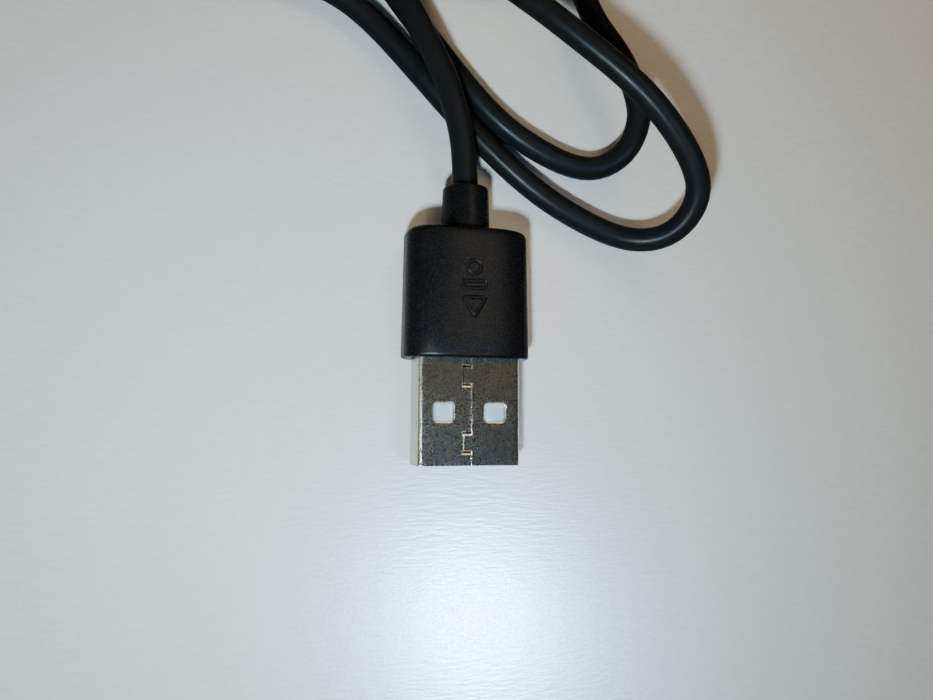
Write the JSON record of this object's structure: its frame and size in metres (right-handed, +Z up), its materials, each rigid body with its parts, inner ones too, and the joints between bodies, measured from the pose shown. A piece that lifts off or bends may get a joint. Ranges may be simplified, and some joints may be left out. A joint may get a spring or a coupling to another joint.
{
  "type": "usb lead with type a plug",
  "caption": "USB lead lying on a table: a type A plug with moulded grip and collar, a loosely looped round cord, a tied coil and a small type B plug.",
  "frame": {"origin": "middle of the type A plug's footprint, on the surface that the lead lies on", "axes": "+Y from the type A plug's mouth toward its cord, +Z up, +X to the right seen from above with the mouth toward the viewer"},
  "size_m": [0.0676, 0.1169, 0.0139],
  "materials": {
    "nickel_plate": "nickel-plated folded steel sheet, fine grain, lightly scuffed",
    "white_insulator": "moulded, smooth, slightly translucent",
    "black_insulator": "moulded, smooth",
    "gold_flash": "thin gold flash over nickel",
    "solder": "bright, reflowed",
    "tinned_steel": "tinned, dull",
    "inner_mould_resin": "milky, moulded",
    "spring_steel": "bright spring sheet",
    "black_pvc_mould": "satin, fine spark-eroded grain",
    "black_pvc_jacket": "extruded, satin gloss",
    "tinned_braid": "fine woven wire",
    "tie_plastic": "ribbed soft plastic",
    "wire_red_pvc": "extruded",
    "wire_white_pvc": "extruded",
    "wire_green_pvc": "extruded",
    "wire_black_pvc": "extruded"
  },
  "bodies": {
    "lead": {"plug_shell": "nickel_plate", "plug_insulator": "white_insulator", "contact_supply": "gold_flash", "contact_data_minus": "gold_flash", "contact_data_plus": "gold_flash", "contact_ground": "gold_flash", "solder_supply": "solder", "solder_data_minus": "solder", "solder_data_plus": "solder", "solder_ground": "solder", "rear_shield": "tinned_steel", "inner_mould": "inner_mould_resin", "cord_end": "black_pvc_jacket", "shield_braid": "tinned_braid", "plug_overmould": "black_pvc_mould", "wire_red": "wire_red_pvc", "wire_white": "wire_white_pvc", "wire_green": "wire_green_pvc", "wire_black": "wire_black_pvc", "small_shell": "nickel_plate", "small_insulator": "black_insulator", "small_contact_1": "gold_flash", "small_contact_2": "gold_flash", "small_contact_3": "gold_flash", "small_contact_4": "gold_flash", "small_contact_5": "gold_flash", "small_rear_shield": "tinned_steel", "small_inner_mould": "inner_mould_resin", "small_cord_end": "black_pvc_jacket", "small_overmould": "black_pvc_mould", "small_solder_1": "solder", "small_solder_2": "solder", "small_solder_3": "solder", "small_solder_5": "solder", "small_wire_red": "wire_red_pvc", "small_wire_white": "wire_white_pvc", "small_wire_green": "wire_green_pvc", "small_wire_black": "wire_black_pvc", "cord_run": "black_pvc_jacket", "cord_coil": "black_pvc_jacket", "cord_tail": "black_pvc_jacket", "coil_tie": "tie_plastic"},
    "latch_left": {"small_latch_left": "spring_steel"},
    "latch_right": {"small_latch_right": "spring_steel"}
  },
  "joints": [
    {"name": "latch_left_spring", "type": "hinge", "parent": "lead", "child": "latch_left", "pos_m": [0.027, 0.09365, 0.003], "axis": [0, -1, 0], "range_deg": [0, 4.5], "stiffness_Nm_per_rad": 0.002},
    {"name": "latch_right_spring", "type": "hinge", "parent": "lead", "child": "latch_right", "pos_m": [0.027, 0.09715, 0.003], "axis": [0, -1, 0], "range_deg": [0, 4.5], "stiffness_Nm_per_rad": 0.002}
  ]
}
